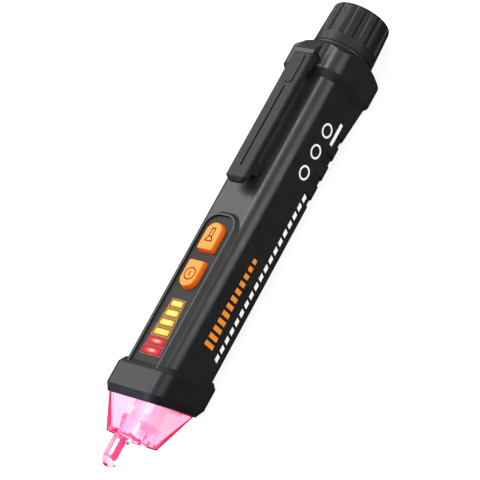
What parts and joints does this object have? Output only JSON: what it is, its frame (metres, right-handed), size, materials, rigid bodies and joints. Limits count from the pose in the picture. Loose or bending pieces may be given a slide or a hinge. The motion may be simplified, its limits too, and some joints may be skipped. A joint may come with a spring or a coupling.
{
  "type": "non contact voltage tester",
  "caption": "Pen-shaped non contact voltage tester with a clear slotted sensing nose, bar graph, power and torch keys, spring clip and a screw-on battery cap.",
  "frame": {"origin": "middle of the pen's length and width, on the surface that it lies on", "axes": "+X along the pen towards the battery cap, +Z out of the front face with the keys and the clip, +Y across the pen"},
  "size_m": [0.16, 0.023, 0.027],
  "materials": {
    "black_plastic": "satin",
    "pink_clear": "clear tinted",
    "panel_dark": "satin",
    "window_dark": "gloss",
    "red_light": "translucent",
    "yellow_light": "translucent",
    "orange_key": "satin",
    "seal_rubber": "matte",
    "copper_strip": "satin",
    "led_epoxy": "clear",
    "board_green": "satin",
    "chip_black": "matte",
    "passive_ceramic": "matte",
    "white_plastic": "satin",
    "switch_metal": "satin",
    "tube_plastic": "satin",
    "spring_steel": "satin",
    "cell_wrap": "gloss",
    "pink_sleeve": "translucent"
  },
  "bodies": {
    "housing": {"nose_cone": "pink_clear", "probe_sleeve": "pink_sleeve", "front_collar": "black_plastic", "barrel": "black_plastic", "control_panel": "panel_dark", "bargraph_window": "window_dark", "red_bars": "red_light", "yellow_bars": "yellow_light", "cap_seal": "seal_rubber", "probe_antenna": "copper_strip", "torch_led": "led_epoxy", "alarm_leds": "led_epoxy", "head_board": "board_green", "main_board": "board_green", "bargraph_leds": "white_plastic", "led_baffle": "chip_black", "power_switch": "switch_metal", "torch_switch": "switch_metal", "ic_chips": "chip_black", "passives": "passive_ceramic", "buzzer": "chip_black", "battery_tube": "tube_plastic", "front_contact": "spring_steel", "return_strip": "copper_strip", "cell_front": "cell_wrap", "cell_rear": "cell_wrap"},
    "power_key": {"power_button": "orange_key", "power_plunger": "chip_black"},
    "torch_key": {"torch_button": "orange_key", "torch_plunger": "chip_black"},
    "clip": {"clip": "black_plastic"},
    "cap_contact": {"cap_contact_plate": "spring_steel", "cap_spring": "spring_steel"},
    "cap": {"battery_cap": "black_plastic"}
  },
  "joints": [
    {"name": "power_press", "type": "slide", "parent": "housing", "child": "power_key", "axis": [0, 0, -1], "range_m": [0, 0.0004], "stiffness_N_per_m": 1500},
    {"name": "torch_press", "type": "slide", "parent": "housing", "child": "torch_key", "axis": [0, 0, -1], "range_m": [0, 0.0004], "stiffness_N_per_m": 1500},
    {"name": "clip_flex", "type": "hinge", "parent": "housing", "child": "clip", "pos_m": [0.0565, 0, 0.02495], "axis": [0, 1, 0], "range_deg": [0, 5], "stiffness_Nm_per_rad": 2},
    {"name": "cap_travel", "type": "slide", "parent": "housing", "child": "cap_contact", "axis": [1, 0, 0], "range_m": [0, 0.007]},
    {"name": "cap_turn", "type": "hinge", "parent": "cap_contact", "child": "cap", "pos_m": [0.07, 0, 0.0115], "axis": [1, 0, 0], "range_deg": [0, 1261]}
  ],
  "couplings": [
    {"joint": "cap_turn", "follows": "cap_travel", "rad_per_m": 3141.6}
  ]
}
